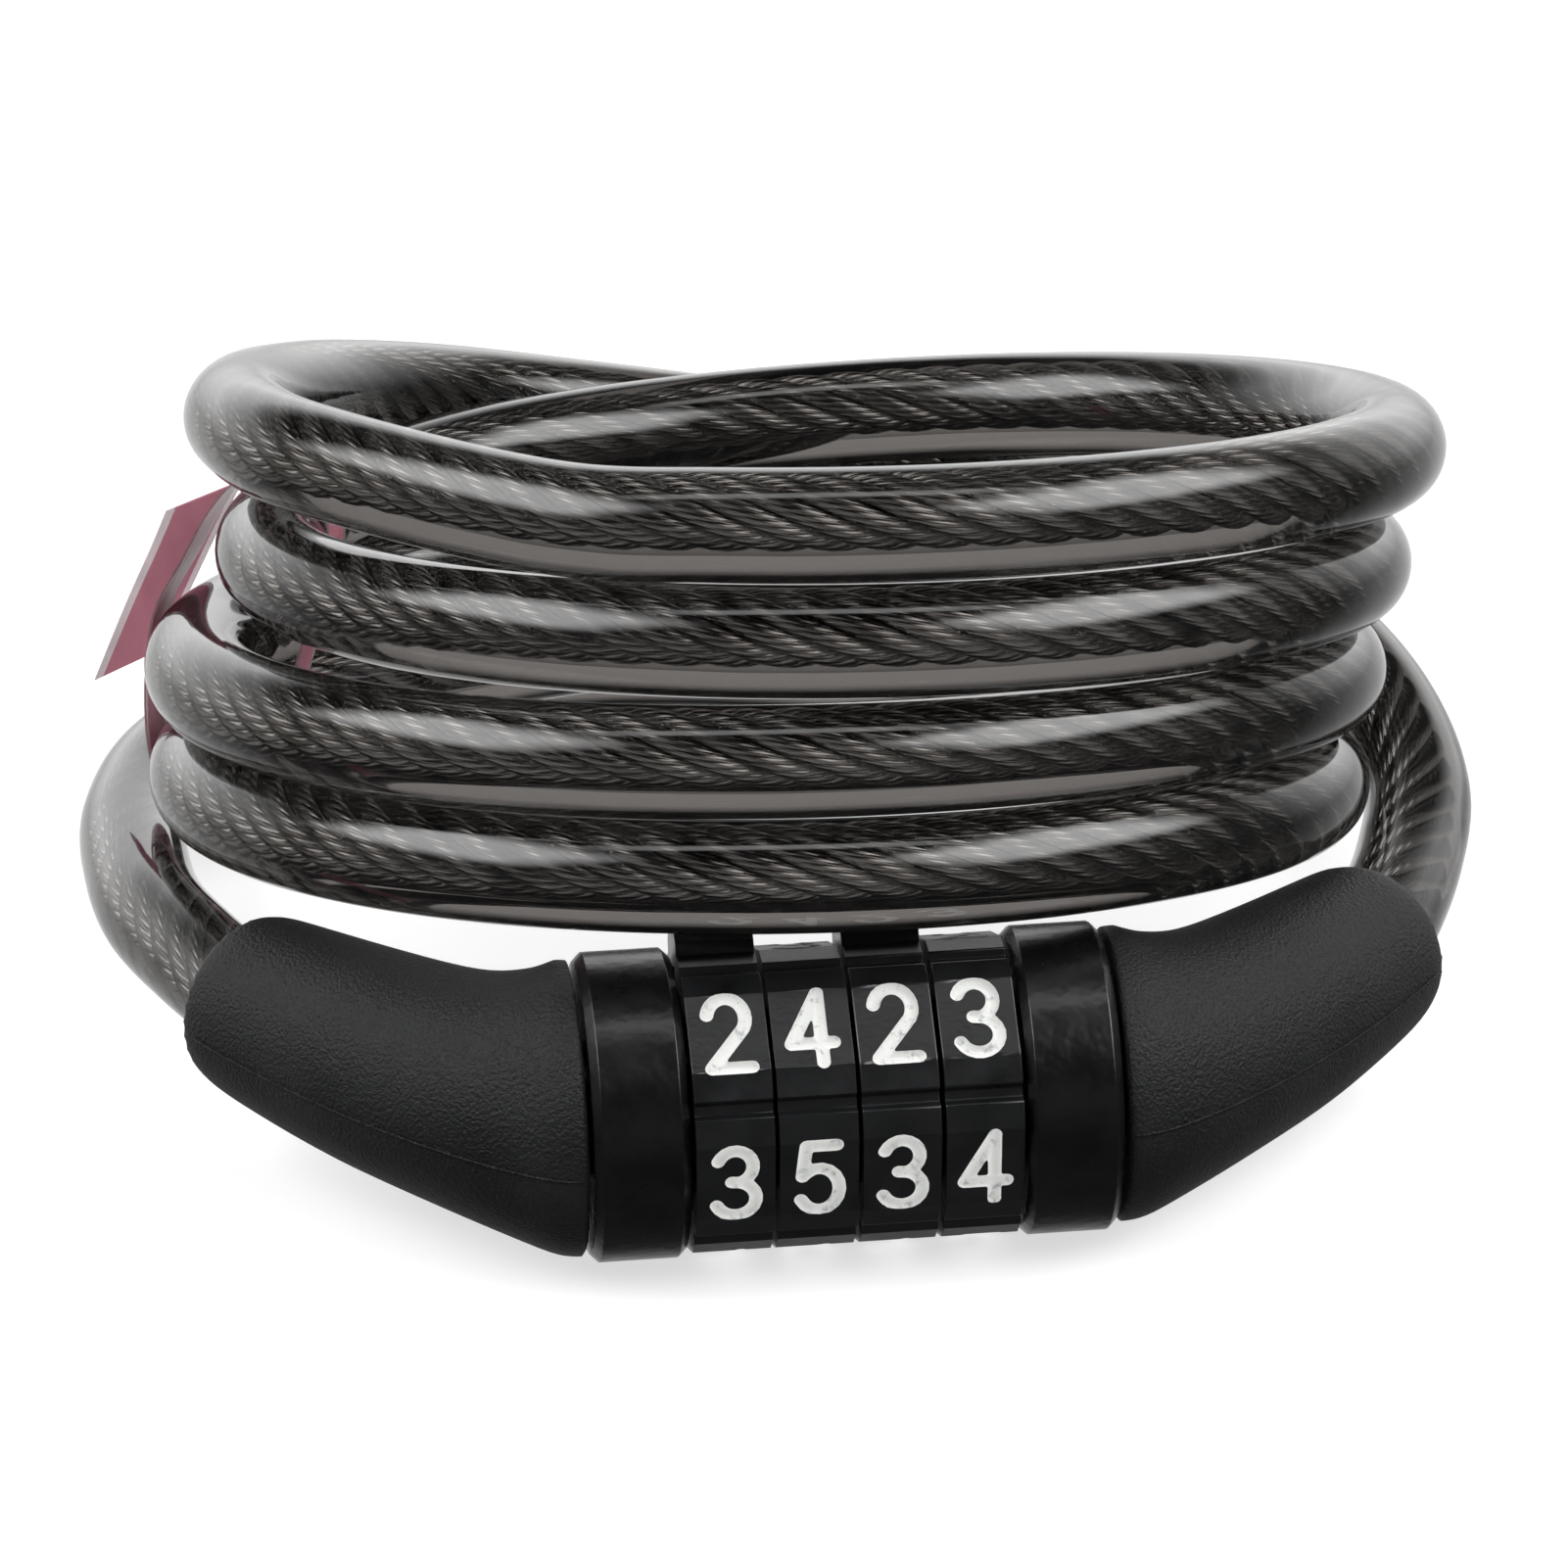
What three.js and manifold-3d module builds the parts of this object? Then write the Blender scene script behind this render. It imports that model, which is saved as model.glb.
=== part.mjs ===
// Cable lock: a four-dial combination lock closed on itself, with its cable wound into four turns.
// Millimetres, +Z up. The lock's axis runs along X, the number windows face -Y, the coil lies behind.

import * as THREE from 'three';
import { mergeVertices } from 'three/addons/utils/BufferGeometryUtils.js';
import Module from 'manifold-3d';

const wasm = await Module();
wasm.setup();

// ---------------------------------------------------------------- driving dimensions

const gap = 0.3;                    // running clearance between neighbouring pieces
const sides = 48;                   // facets on the collars, so that one lies flat on the table

const collarRadius = 10.75;         // to the collar's flat facets
const collarWidth = 6.65;
const collarEdge = 0.6;             // chamfer on the collar's rims

const dialCount = 4;
const dialPitch = 5.75;
const dialFacets = 6;
const dialApothem = 10.3;           // axis to a number facet
const dialRim = 10.7;               // axis to the dial's corners
const dialGroove = 10.15;           // axis to the floor of the groove between two facets
const grooveHalfAngle = 3.4;        // degrees
const readingTilt = -7;             // degrees that the read facet looks above the horizontal
const codeDigits = [3, 5, 3, 4];    // digits at the marks when the lock opens
const tabTop = [9, 12.15];          // thumb tab: half its angle in degrees, and its radius,
const tabShoulder = [14, 11.5];     // at the top, where its edge rounds off,
const tabFoot = [16.5, dialRim];    // and where it leaves the dial
const dialBore = 8.7;
const dialKeyDepth = 0.7;           // notches that the clutch ring's teeth sit in
const keyCount = 6;
const keyWidth = 2.0;

const ringBore = 6.5;               // clutch ring on the spindle
const ringRelief = 7.7;             // hollow in the ring where a lug can stand
const ringRadius = 8.4;
const ringWidth = 5.0;
const webWidth = 1.5;               // the wall that holds a lug back
const gateWidth = 3.0;              // the gap in that wall

const spindleRadius = 6.2;
const spindleBore = 4.3;
const spindleSlot = 2.4;
const spindleEnd = 13.4;            // X of the spindle's free end, inside the plug collar

const shankRadius = 4.0;
const lugRadius = 7.3;
const lugWidth = 1.5;
const lugThickness = 1.6;

const ferruleRadius = 4.7;
const ferruleEnd = 21.0;            // X of the ferrule's outer end
const ropeRadius = 2.0;
const pinRadius = 0.75;
const pinX = 17.0;

const bootMouth = [40.2, 18.6];     // X and Y of the middle of the boot's mouth
const bootKnee = 25.5;              // X where the boot's axis would turn, were it bent sharply
const bootTurn = 51;                // degrees between the boot's two end planes
const bootRoll = 2.3;               // degrees that each boot is turned about the lock's axis
const bootBore = 4.75;

const cableRadius = 4.0;
const coilRadius = 40.0;            // to the middle of the cable
const coilTurns = 4;
const coilPitch = 8.05;
const coilFront = [0, -0.6, 27.75]; // middle of the lowest turn where it crosses the dials
const leadClearance = 3.2;          // length of cable tube inside the boot's mouth

// The cable from the right boot, round the back of the coil.
const rightRoute = [
  [40.2, 18.6, 10.0],
  [42.6, 24.0, 9.9],
  [45.6, 32.5, 10.0],
  [47.7, 41.0, 10.8],
  [47.6, 50.0, 12.2],
  [45.4, 59.0, 13.8],
  [40.2, 69.5, 15.3],
  [31.0, 80.0, 16.8],
  [17.5, 88.2, 18.8],
  [2.0, 91.6, 21.4],
];
const plugLead = 34;                // length of that cable, from its start, that moves with the plug

// The cable from behind the coil, along the table, to the left boot.
const leftRoute = [
  [4.0, 86.5, 4.05],
  [-11.0, 88.6, 4.05],
  [-25.0, 86.0, 4.3],
  [-36.0, 79.0, 5.2],
  [-42.8, 69.0, 6.4],
  [-46.0, 57.0, 7.6],
  [-46.4, 46.0, 8.8],
  [-45.6, 36.0, 9.9],
  [-43.0, 26.3, 10.9],
  [-40.2, 18.6, 11.5],
];

const tieWidth = 6.5;
const tieThickness = 0.4;
const tieAngle = 150;               // degrees round the coil, counted from +X
const tieTailTop = 22;              // height on the stack where the loose tail leaves the strap
const tieTailReach = [5.4, 14];     // how far it stands out, and how far down it hangs

// Worked out from the above.
const axisHeight = collarRadius;
const stackHalf = dialCount * dialPitch / 2;
const collarInner = stackHalf + gap / 2;
const collarOuter = collarInner + collarWidth;
const dialWidth = dialPitch - gap;
const coilLean = Math.asin((coilFront[2] - cableRadius) / (2 * coilRadius));

// ---------------------------------------------------------------- materials

const finish = (color, roughness, metalness) =>
  new THREE.MeshStandardMaterial({ color, roughness, metalness });

const blackEnamel = finish(0x101112, 0.3, 0.2);
const dialBlack = finish(0x17181a, 0.4, 0.1);
const rubber = finish(0x1c1e1e, 0.85, 0);
const smokedVinyl = finish(0x3a3a3c, 0.15, 0);
const zincAlloy = finish(0xa9abae, 0.45, 0.9);
const springSteel = finish(0xc2c4c8, 0.3, 1);
const ropeSteel = finish(0x8a8c90, 0.4, 1);
const maroonFilm = finish(0x7a3a48, 0.2, 0);

// ---------------------------------------------------------------- shape helpers

const radians = THREE.MathUtils.degToRad;

function toSolid(geometry) {
  const bare = geometry.clone();
  bare.deleteAttribute('normal');
  bare.deleteAttribute('uv');
  const merged = mergeVertices(bare, 1e-4);
  return new wasm.Manifold(new wasm.Mesh({
    numProp: 3,
    vertProperties: new Float32Array(merged.attributes.position.array),
    triVerts: new Uint32Array(merged.index.array),
  }));
}

function toGeometry(solid) {
  const mesh = solid.getMesh();
  const geometry = new THREE.BufferGeometry();
  geometry.setAttribute('position', new THREE.BufferAttribute(mesh.vertProperties, 3));
  geometry.setIndex(new THREE.BufferAttribute(mesh.triVerts, 1));
  geometry.computeVertexNormals();
  return geometry;
}

// A turned piece about the X axis. The outline lists [x, radius] and closes on itself or on the axis.
function turned(outline, segments = 32) {
  const points = outline.map(([x, r]) => new THREE.Vector2(r, x));
  const half = Math.PI / segments;
  const geometry = new THREE.LatheGeometry(points, segments, half, 2 * Math.PI);
  return geometry.rotateZ(-Math.PI / 2);
}

function rod(x0, x1, radius, segments = 32) {
  return turned([[x0, 0], [x0, radius], [x1, radius], [x1, 0]], segments);
}

function tube(x0, x1, inner, outer, segments = 32) {
  return turned([[x0, inner], [x0, outer], [x1, outer], [x1, inner], [x0, inner]], segments);
}

// A box given by its lowest and highest corners.
function block([x0, y0, z0], [x1, y1, z1]) {
  const box = new THREE.BoxGeometry(x1 - x0, y1 - y0, z1 - z0);
  return box.translate((x0 + x1) / 2, (y0 + y1) / 2, (z0 + z1) / 2);
}

// A flat outline in the YZ plane, made thick along X from x0 to x1.
function slab(shape, x0, x1, curveSegments = 12) {
  const geometry = new THREE.ExtrudeGeometry(shape, {
    depth: x1 - x0,
    bevelEnabled: false,
    curveSegments,
  });
  const axes = new THREE.Matrix4().makeBasis(
    new THREE.Vector3(0, 1, 0), new THREE.Vector3(0, 0, 1), new THREE.Vector3(1, 0, 0));
  return geometry.applyMatrix4(axes).translate(x0, 0, 0);
}

// A cable or rope along a list of points, or only the stretch from..to of its length.
function cableTube(points, radius, steps, from = 0, to = Infinity) {
  const facets = 10;
  const section = new THREE.Shape();
  for (let i = 0; i < facets; i++) {
    const a = 2 * Math.PI * i / facets;
    const place = [radius * Math.cos(a), radius * Math.sin(a)];
    if (i === 0) section.moveTo(...place);
    else section.lineTo(...place);
  }
  section.closePath();
  const whole = new THREE.CatmullRomCurve3(points.map((p) => new THREE.Vector3(...p)));
  const length = whole.getLength();
  const end = Math.min(to, length);
  const stretch = [];
  for (let i = 0; i <= steps; i++) {
    const along = from + (end - from) * i / steps;
    stretch.push(whole.getPointAt(Math.min(1, along / length)));
  }
  const extrudePath = new THREE.CatmullRomCurve3(stretch);
  return new THREE.ExtrudeGeometry(section, { steps, extrudePath, bevelEnabled: false });
}

function piece(name, geometry, material) {
  const mesh = new THREE.Mesh(geometry, material);
  mesh.name = name;
  return mesh;
}

// ---------------------------------------------------------------- collars and spindle

// One collar, from its face beside the dials (inner) out to the boot's side.
function collarOutline(side) {
  const inner = side * collarInner;
  const outer = side * collarOuter;
  const rim = side * collarEdge;
  const radius = collarRadius / Math.cos(Math.PI / sides);
  const outline = [
    [outer, 0],
    [outer, radius - collarEdge],
    [outer - rim, radius],
    [inner + rim, radius],
    [inner, radius - collarEdge],
    [inner, 0],
  ];
  return side > 0 ? outline.reverse() : outline;
}

// The pins are driven in from behind, so their holes don't show from the front.
function crossHole(x) {
  return new THREE.CylinderGeometry(pinRadius + gap, pinRadius + gap, 16, 16).translate(x, 5, 0);
}

function lockBody() {
  const springSeat = tube(-collarInner - 1.3, -collarInner + 1, spindleRadius, 8.9);
  const ferruleSeat = rod(-collarOuter - 1, -14.0, ferruleRadius + gap);
  const spindle = rod(-collarInner - 0.5, spindleEnd, spindleRadius);
  const bore = rod(-12.0, spindleEnd + 1, spindleBore);
  const slot = block([-11.3, -spindleSlot / 2, 0], [spindleEnd + 1, spindleSlot / 2, 8]);
  const clipGroove = tube(11.55, 12.75, 5.3, 7);
  const springGroove = block([-10.6, -1.3, -7], [10.6, 1.3, -5.1]);
  return toSolid(turned(collarOutline(-1), sides))
    .subtract(toSolid(springSeat))
    .subtract(toSolid(ferruleSeat))
    .add(toSolid(spindle))
    .subtract(toSolid(bore))
    .subtract(toSolid(slot))
    .subtract(toSolid(clipGroove))
    .subtract(toSolid(springGroove))
    .subtract(toSolid(crossHole(-pinX)));
}

function plugCollar() {
  const spindleRoom = rod(collarInner - 1, 14.0, 7.9);
  const seat = rod(13, collarOuter + 1, ferruleRadius + gap);
  return toSolid(turned(collarOutline(1), sides))
    .subtract(toSolid(spindleRoom))
    .subtract(toSolid(seat))
    .subtract(toSolid(crossHole(pinX)));
}

// ---------------------------------------------------------------- dials and clutch rings

// The outline of one dial about its axis: flat number facets, a groove between each two, one tab.
function dialShape() {
  const shape = new THREE.Shape();
  const facetAngle = 360 / dialFacets;
  const flatHalf = THREE.MathUtils.radToDeg(Math.acos(dialApothem / dialRim));
  const cornerHalf = facetAngle / 2 - grooveHalfAngle;
  const spots = [];
  for (let i = 0; i < dialFacets; i++) {
    const middle = i * facetAngle;
    const onTab = i === 0;
    spots.push([middle - cornerHalf - 1.5, dialGroove], [middle - cornerHalf, dialRim]);
    if (onTab) {
      const rise = [tabFoot, tabShoulder, tabTop];
      rise.forEach(([half, r]) => spots.push([middle - half, r]));
      rise.reverse().forEach(([half, r]) => spots.push([middle + half, r]));
    } else {
      spots.push([middle - flatHalf, dialRim], [middle + flatHalf, dialRim]);
    }
    spots.push([middle + cornerHalf, dialRim], [middle + cornerHalf + 1.5, dialGroove]);
  }
  spots.forEach(([angle, r], i) => {
    const place = [r * Math.cos(radians(angle)), r * Math.sin(radians(angle))];
    if (i === 0) shape.moveTo(...place);
    else shape.lineTo(...place);
  });
  shape.closePath();
  return shape;
}

// Six short keys round the axis, as teeth on the clutch ring or as notches in the dial.
function keys(inner, outer, width, x0, x1, turn = 0) {
  let all = null;
  for (let i = 0; i < keyCount; i++) {
    const key = block([x0, -width / 2, inner], [x1, width / 2, outer]);
    const solid = toSolid(key.rotateX(2 * Math.PI * (i + 0.5) / keyCount + turn));
    all = all ? all.add(solid) : solid;
  }
  return all;
}

function dial() {
  const half = dialWidth / 2;
  return toSolid(slab(dialShape(), -half, half))
    .subtract(toSolid(rod(-half - 1, half + 1, dialBore)))
    .subtract(keys(8, dialBore + dialKeyDepth, keyWidth + 2 * gap, -half - 1, half + 1));
}

// The web stands on the plug's side of the ring, and the gate through it looks up.
function clutchRing() {
  const half = ringWidth / 2;
  const webFace = half - webWidth;
  const gate = block([-half - 1, -gateWidth / 2, 0], [half + 1, gateWidth / 2, ringRelief]);
  const tooth = radians(-readingTilt);
  return toSolid(tube(-half, half, ringBore, ringRadius))
    .subtract(toSolid(rod(-half - 1, webFace, ringRelief)))
    .subtract(toSolid(gate))
    .add(keys(ringRadius - 0.4, dialBore + dialKeyDepth - gap, keyWidth, -half, half, tooth));
}

// ---------------------------------------------------------------- plug

function plugShank() {
  let shank = toSolid(rod(-11.3, 15.0, shankRadius))
    .add(toSolid(rod(14.3, 15.5, ferruleRadius)))
    .add(toSolid(rod(15.0, 18.0, 2.0, 16)));
  for (let i = 0; i < dialCount; i++) {
    const middle = (i - (dialCount - 1) / 2) * dialPitch;
    const lug = block(
      [middle - 1.0, -lugThickness / 2, 3], [middle - 1.0 + lugWidth, lugThickness / 2, lugRadius]);
    shank = shank.add(toSolid(lug));
  }
  return shank.subtract(toSolid(crossHole(pinX)));
}

// The ferrule on the rope's end, for the right side. The left one is its mirror image.
function ferrule(inner, boreStart) {
  return toSolid(rod(inner, ferruleEnd, ferruleRadius, 24))
    .subtract(toSolid(rod(boreStart, ferruleEnd + 1, ropeRadius + 2 * gap, 24)))
    .subtract(toSolid(crossHole(pinX)));
}

function crossPin(x) {
  return new THREE.CylinderGeometry(pinRadius, pinRadius, 12.6, 12).translate(x, 3.9, 0);
}

// ---------------------------------------------------------------- springs and clip

// A C-shaped clip in the groove near the spindle's end, open towards the lug slot.
function retainingRing() {
  const opening = block([11, -1.8, 0], [13, 1.8, 9]);
  return toSolid(tube(11.85, 12.45, 5.6, 7.5)).subtract(toSolid(opening));
}

// A flat ring pressed into three waves.
function waveSpring() {
  const geometry = tube(-0.2, 0.2, spindleRadius + gap, 8.5, 36);
  const place = geometry.attributes.position;
  for (let i = 0; i < place.count; i++) {
    const around = Math.atan2(place.getZ(i), place.getY(i));
    place.setX(i, place.getX(i) + 0.3 * Math.sin(3 * around));
  }
  return geometry.translate(-collarInner - 0.45, 0, 0);
}

// A leaf with one bump under each clutch ring.
function detentSpring() {
  const steps = 40;
  const length = 20;
  const top = [];
  for (let i = 0; i <= steps; i++) {
    const x = -length / 2 + length * i / steps;
    const bump = Math.max(0, Math.cos(2 * Math.PI * x / dialPitch + Math.PI));
    top.push([x, 0.45 * bump]);
  }
  const shape = new THREE.Shape();
  shape.moveTo(top[0][0], top[0][1] - 0.3);
  top.forEach(([x, h]) => shape.lineTo(x, h));
  [...top].reverse().forEach(([x, h]) => shape.lineTo(x, h - 0.3));
  const leaf = new THREE.ExtrudeGeometry(shape, { depth: 2, bevelEnabled: false });
  return leaf.translate(0, 0, -1).rotateX(-Math.PI / 2).translate(0, 0, -5.85);
}

// ---------------------------------------------------------------- boots

// Outer radius of the boot along its axis: [fraction of the length, radius].
const bootProfile = [
  [0, 9.9], [0.015, 10.35], [0.09, 10.35], [0.2, 9.6], [0.35, 8.8], [0.5, 8.2], [0.7, 7.75],
  [0.88, 7.05], [0.97, 6.65], [1, 6.1],
];

// Where the boot's axis runs: a fraction of its length gives the middle and the section's turn.
function bootAxis(t) {
  const knee = new THREE.Vector2(bootKnee, 0);
  const curve = new THREE.QuadraticBezierCurve(
    new THREE.Vector2(collarOuter + gap, 0), knee, new THREE.Vector2(...bootMouth));
  return { middle: curve.getPoint(t), turn: radians(bootTurn) * t };
}

// Moulded straight, then each section is carried to its place on the bent axis.
function boot() {
  const bore = [[1, bootBore], [0.34, bootBore], [0.12, 7.6], [0, 7.6]];
  const outline = [...bootProfile, ...bore, bootProfile[0]];
  const geometry = turned(outline, 32);
  const place = geometry.attributes.position;
  for (let i = 0; i < place.count; i++) {
    const { middle, turn } = bootAxis(place.getX(i));
    const across = place.getY(i);
    place.setX(i, middle.x - across * Math.sin(turn));
    place.setY(i, middle.y + across * Math.cos(turn));
  }
  return geometry;
}

// The bare rope from the ferrule, through the boot, to where its sleeve begins.
function ropeEnd() {
  const start = 18.6;
  const points = [[start, 0, 0], [start + 2.4, 0, 0]];
  for (const t of [0.36, 0.5, 0.64]) {
    const { middle } = bootAxis(t);
    points.push([middle.x, middle.y, 0]);
  }
  return cableTube(points, ropeRadius, 10);
}

// A right-hand piece turned about the lock's axis, or its mirror image on the left.
function onSide(geometry, side) {
  const placed = geometry.clone().rotateX(-side * radians(bootRoll));
  if (side > 0) return placed;
  placed.scale(-1, 1, 1);
  const mirrored = placed.index ? placed.toNonIndexed() : placed;
  const corners = mirrored.attributes.position.array;
  for (let i = 0; i < corners.length; i += 9) {
    const second = corners.slice(i + 3, i + 6);
    corners.copyWithin(i + 3, i + 6, i + 9);
    corners.set(second, i + 6);
  }
  mirrored.computeVertexNormals();
  return mirrored;
}

// ---------------------------------------------------------------- cable

// The cable's centre a little way inside the boot's mouth, so that the sleeve starts under the rubber.
function insideMouth(side) {
  const t = 1 - leadClearance / 29;
  const { middle } = bootAxis(t);
  const roll = -side * radians(bootRoll);
  return [side * middle.x, middle.y * Math.cos(roll), axisHeight + middle.y * Math.sin(roll)];
}

// The stack of four turns, as one ring whose outline shows each turn, leaning back onto the table.
function cableCoil() {
  const arcSteps = 3;
  const outline = [];
  const addArc = (turn, from, to) => {
    for (let i = 0; i <= arcSteps; i++) {
      const a = radians(from + (to - from) * i / arcSteps);
      const r = coilRadius + cableRadius * Math.cos(a);
      outline.push(new THREE.Vector2(r, turn * coilPitch + cableRadius * Math.sin(a)));
    }
  };
  const last = coilTurns - 1;
  for (let turn = 0; turn <= last; turn++) {
    addArc(turn, turn === 0 ? -90 : -52, turn === last ? 90 : 52);
  }
  for (let turn = last; turn >= 0; turn--) {
    addArc(turn, turn === last ? 90 : 128, turn === 0 ? 270 : 232);
  }
  const ring = new THREE.LatheGeometry(outline, 44);
  return ring.rotateX(Math.PI / 2).translate(0, coilRadius, 0)
    .rotateX(-coilLean).translate(...coilFront);
}

// The outline of a strap round the stack of turns: a slot with round ends.
function slotOutline(path, radius) {
  path.absarc(0, 0, radius, Math.PI, 2 * Math.PI, false);
  path.absarc(0, (coilTurns - 1) * coilPitch, radius, 0, Math.PI, false);
  path.closePath();
  return path;
}

// A strap round the turns at the left, with its loose tail.
function bundleTie() {
  const clear = cableRadius + 2 * gap;
  const outer = clear + tieThickness;
  const [out, down] = tieTailReach;
  const band = slotOutline(new THREE.Shape(), outer);
  band.holes.push(slotOutline(new THREE.Path(), clear));
  const tail = new THREE.Shape();
  tail.moveTo(clear + 0.1, tieTailTop);
  tail.lineTo(clear + out - tieThickness, tieTailTop - down);
  tail.lineTo(clear + out, tieTailTop - down);
  tail.lineTo(outer, tieTailTop + 1);
  tail.closePath();
  const options = { depth: tieWidth, bevelEnabled: false, curveSegments: 8 };
  const [strap, end] = [band, tail].map((s) => toSolid(new THREE.ExtrudeGeometry(s, options)));
  return toGeometry(strap.add(end))
    .translate(coilRadius, 0, -tieWidth / 2)
    .rotateX(Math.PI / 2)
    .rotateZ(radians(tieAngle))
    .translate(0, coilRadius, 0)
    .rotateX(-coilLean).translate(...coilFront);
}

// ---------------------------------------------------------------- the lock

const object = new THREE.Group();
const lock = new THREE.Group();     // everything centred on the lock's axis
lock.position.z = axisHeight;
const cable = new THREE.Group();    // the cable and what is tied to it
object.add(lock, cable);

lock.add(
  piece('lock_body', toGeometry(lockBody()), blackEnamel),
  piece('plug_collar', toGeometry(plugCollar()), blackEnamel),
  piece('plug_shank', toGeometry(plugShank()), zincAlloy),
  piece('wave_spring', waveSpring(), springSteel),
  piece('detent_spring', detentSpring(), springSteel),
  piece('retaining_ring', toGeometry(retainingRing()), springSteel),
);

const dialGeometry = toGeometry(dial());
const ringGeometry = toGeometry(clutchRing());
for (let i = 0; i < dialCount; i++) {
  const x = (i - (dialCount - 1) / 2) * dialPitch;
  const turnedDial = piece(`dial_${i + 1}`, dialGeometry, dialBlack);
  // The tab is on the facet of digit 1. The read facet looks to -Y, and digits rise downwards.
  const tabAngle = 180 - readingTilt - (codeDigits[i] - 1) * 360 / dialFacets;
  turnedDial.position.x = x;
  turnedDial.rotation.x = radians(tabAngle);
  const ring = piece(`clutch_ring_${i + 1}`, ringGeometry, zincAlloy);
  ring.position.x = x;
  lock.add(turnedDial, ring);
}

for (const [name, side] of [['left', -1], ['right', 1]]) {
  const sleeve = side < 0 ? ferrule(14.3, 18.2) : ferrule(15.8, 15);
  lock.add(
    piece(`${name}_boot`, onSide(boot(), side), rubber),
    piece(`${name}_ferrule`, onSide(toGeometry(sleeve), side), zincAlloy),
    piece(`${name}_rope_end`, onSide(ropeEnd(), side), ropeSteel),
    piece(`${name}_cross_pin`, crossPin(side * pinX), springSteel),
  );
}

const rightRun = [insideMouth(1), ...rightRoute];
const leftRun = [...leftRoute, insideMouth(-1)];
cable.add(
  piece('cable_coil', cableCoil(), smokedVinyl),
  piece('cable_lead_right', cableTube(rightRun, cableRadius, 6, 0, plugLead), smokedVinyl),
  piece('cable_return', cableTube(rightRun, cableRadius, 12, plugLead + 3 * gap), smokedVinyl),
  piece('cable_lead_left', cableTube(leftRun, cableRadius, 16), smokedVinyl),
  piece('bundle_tie', bundleTie(), maroonFilm),
);

// The origin is on the table, under the middle of the lock without its cable.
const extent = new THREE.Box3().setFromObject(lock, true);
const middle = extent.getCenter(new THREE.Vector3());
object.position.set(-middle.x, -middle.y, -extent.min.z);

export default object;
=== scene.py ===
# Cable lock with four number dials: the looks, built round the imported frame.
# Lengths in the dictionaries are in millimetres, and angles in degrees.
import math

import bmesh
import bpy
import numpy as np
from mathutils import Matrix, Vector
from mathutils.kdtree import KDTree


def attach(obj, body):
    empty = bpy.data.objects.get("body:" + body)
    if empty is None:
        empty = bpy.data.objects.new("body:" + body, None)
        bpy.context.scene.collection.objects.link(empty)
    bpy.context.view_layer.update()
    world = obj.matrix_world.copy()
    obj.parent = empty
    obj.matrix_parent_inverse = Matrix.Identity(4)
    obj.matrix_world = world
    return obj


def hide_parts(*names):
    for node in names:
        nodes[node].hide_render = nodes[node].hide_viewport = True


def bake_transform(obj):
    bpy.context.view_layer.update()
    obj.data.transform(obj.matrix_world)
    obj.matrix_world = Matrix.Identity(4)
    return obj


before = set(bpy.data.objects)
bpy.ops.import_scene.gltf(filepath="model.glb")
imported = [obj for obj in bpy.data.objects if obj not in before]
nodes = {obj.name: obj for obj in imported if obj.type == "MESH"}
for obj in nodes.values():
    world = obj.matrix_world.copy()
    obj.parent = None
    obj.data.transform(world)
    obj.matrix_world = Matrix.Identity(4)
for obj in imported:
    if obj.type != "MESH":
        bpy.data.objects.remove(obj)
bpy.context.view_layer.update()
mm = 0.001

# Materials
def colour(hexCode):
    # sRGB hex to linear RGBA
    parts = [int(hexCode[i:i + 2], 16) / 255 for i in (1, 3, 5)]
    return tuple(c / 12.92 if c <= 0.04045 else ((c + 0.055) / 1.055) ** 2.4 for c in parts) + (1.0,)


def addNode(tree, kind, links=(), **settings):
    # links: pairs of (input name, output socket); settings: node properties, or inputs by name
    node = tree.nodes.new("ShaderNode" + kind)
    for name, value in settings.items():
        label = name.replace("_", " ")
        if hasattr(node, name):
            setattr(node, name, value)
        else:
            node.inputs[label].default_value = value
    for name, source in links:
        tree.links.new(source, node.inputs[name])
    return node


def newMaterial(name):
    material = bpy.data.materials.new(name)
    material.use_nodes = True
    tree = material.node_tree
    shader = tree.nodes["Principled BSDF"]
    return material, tree, shader


def objectNoise(tree, grain, detail=2.0, rough=0.5, stretch=(1, 1, 1)):
    # grain: size of one blotch in mm, on object coordinates
    place = addNode(tree, "TexCoord")
    mapped = addNode(tree, "Mapping", [("Vector", place.outputs["Object"])], Scale=stretch)
    return addNode(
        tree, "TexNoise", [("Vector", mapped.outputs["Vector"])],
        Scale=1 / (grain * mm), Detail=detail, Roughness=rough)


def ramp(tree, source, stops):
    # stops: pairs of (position, linear colour)
    node = addNode(tree, "ValToRGB", [("Fac", source)])
    elements = node.color_ramp.elements
    while len(elements) < len(stops):
        elements.new(0.5)
    for element, (position, value) in zip(elements, stops):
        element.position = position
        element.color = value
    return node.outputs["Color"]


def span(tree, source, low, high, start=0, end=1):
    # start to end of the source becomes low to high
    node = addNode(tree, "MapRange", [("Value", source)])
    for label, value in (("From Min", start), ("From Max", end), ("To Min", low), ("To Max", high)):
        node.inputs[label].default_value = value
    return node.outputs["Result"]


def bump(tree, shader, height, depth, strength=1.0, under=None):
    links = [("Height", height)]
    if under is not None:
        links.append(("Normal", under))
    node = addNode(tree, "Bump", links, Strength=strength, Distance=depth * mm)
    tree.links.new(node.outputs["Normal"], shader.inputs["Normal"])
    return node.outputs["Normal"]


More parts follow.
